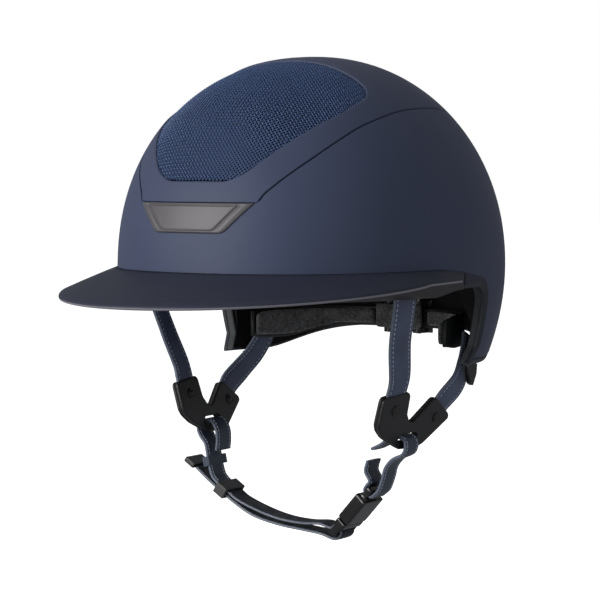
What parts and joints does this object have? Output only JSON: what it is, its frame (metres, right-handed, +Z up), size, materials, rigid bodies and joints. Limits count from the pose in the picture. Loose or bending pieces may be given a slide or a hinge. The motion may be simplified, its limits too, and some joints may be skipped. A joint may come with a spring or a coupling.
{
  "type": "equestrian riding helmet",
  "caption": "Riding helmet with a wide curved peak, meshed crown vent, foam liner, nape cradle with swinging wings and a buckled chin harness.",
  "frame": {"origin": "middle of the head opening, on the level where the shell wall turns vertical", "axes": "+Z up through the crown, -Y the way the wearer faces, +X the wearer's left"},
  "size_m": [0.22, 0.3223, 0.2914],
  "materials": {
    "shell_paint": "matte, soft touch",
    "peak_paint": "matte",
    "vent_weave": "woven",
    "badge_satin": "satin",
    "foam": "moulded foam",
    "trim_black": "satin",
    "pad_textile": "knitted",
    "black_plastic": "moulded",
    "strap_leather": "stitched",
    "chin_webbing": "edge coated webbing",
    "gloss_plastic": "glossy",
    "grey_plastic": "satin",
    "pin_steel": "brushed"
  },
  "bodies": {
    "helmet": {"outer_shell": "shell_paint", "crown_panel": "shell_paint", "vent_mesh": "vent_weave", "front_badge": "badge_satin", "peak": "peak_paint", "foam_liner": "foam", "ear_trim_left": "trim_black", "ear_trim_right": "trim_black", "nape_trim": "trim_black", "brow_pad": "pad_textile", "temple_pad_left": "pad_textile", "temple_pad_right": "pad_textile", "crown_pad": "pad_textile", "divider_cover_left": "black_plastic", "divider_cover_right": "black_plastic", "divider_base_left": "black_plastic", "divider_base_right": "black_plastic", "snap_front_left": "black_plastic", "snap_front_right": "black_plastic", "snap_rear_left": "black_plastic", "snap_rear_right": "black_plastic", "front_strap_left": "strap_leather", "front_strap_right": "strap_leather", "rear_strap_left": "strap_leather", "rear_strap_right": "strap_leather", "strap_clip_left": "black_plastic", "strap_clip_right": "black_plastic", "lead_strap_left": "strap_leather", "slot_loop_right": "strap_leather", "buckle_female": "gloss_plastic"},
    "nape_cradle": {"cradle_frame": "black_plastic", "wing_pin_left": "pin_steel", "wing_pin_right": "pin_steel", "nape_pad_middle": "pad_textile"},
    "wing_left": {"nape_wing_left": "black_plastic", "nape_pad_left": "pad_textile"},
    "wing_right": {"nape_wing_right": "black_plastic", "nape_pad_right": "pad_textile"},
    "chin_strap": {"lead_strap_right": "strap_leather", "lead_keeper_right": "strap_leather", "chin_strap": "chin_webbing", "strap_end": "grey_plastic", "buckle_male": "gloss_plastic"},
    "slider": {"chin_slider": "grey_plastic"}
  },
  "joints": [
    {"name": "cradle_height", "type": "slide", "parent": "helmet", "child": "nape_cradle", "axis": [0, 0, 1], "range_m": [-0.003, 0.006]},
    {"name": "wing_left_swing", "type": "hinge", "parent": "nape_cradle", "child": "wing_left", "pos_m": [0.011, 0.1093, -0.0411], "axis": [0, 0, -1], "range_deg": [-1, 8]},
    {"name": "wing_right_swing", "type": "hinge", "parent": "nape_cradle", "child": "wing_right", "pos_m": [-0.011, 0.1093, -0.0411], "axis": [0, 0, 1], "range_deg": [-1, 8]},
    {"name": "chin_strap_swing", "type": "hinge", "parent": "helmet", "child": "chin_strap", "pos_m": [-0.0715, -0.006, -0.1121], "axis": [0, 1, 0], "range_deg": [0, 65]},
    {"name": "slider_travel", "type": "slide", "parent": "chin_strap", "child": "slider", "axis": [0.848, 0, -0.5299], "range_m": [-0.002, 0.002]}
  ]
}
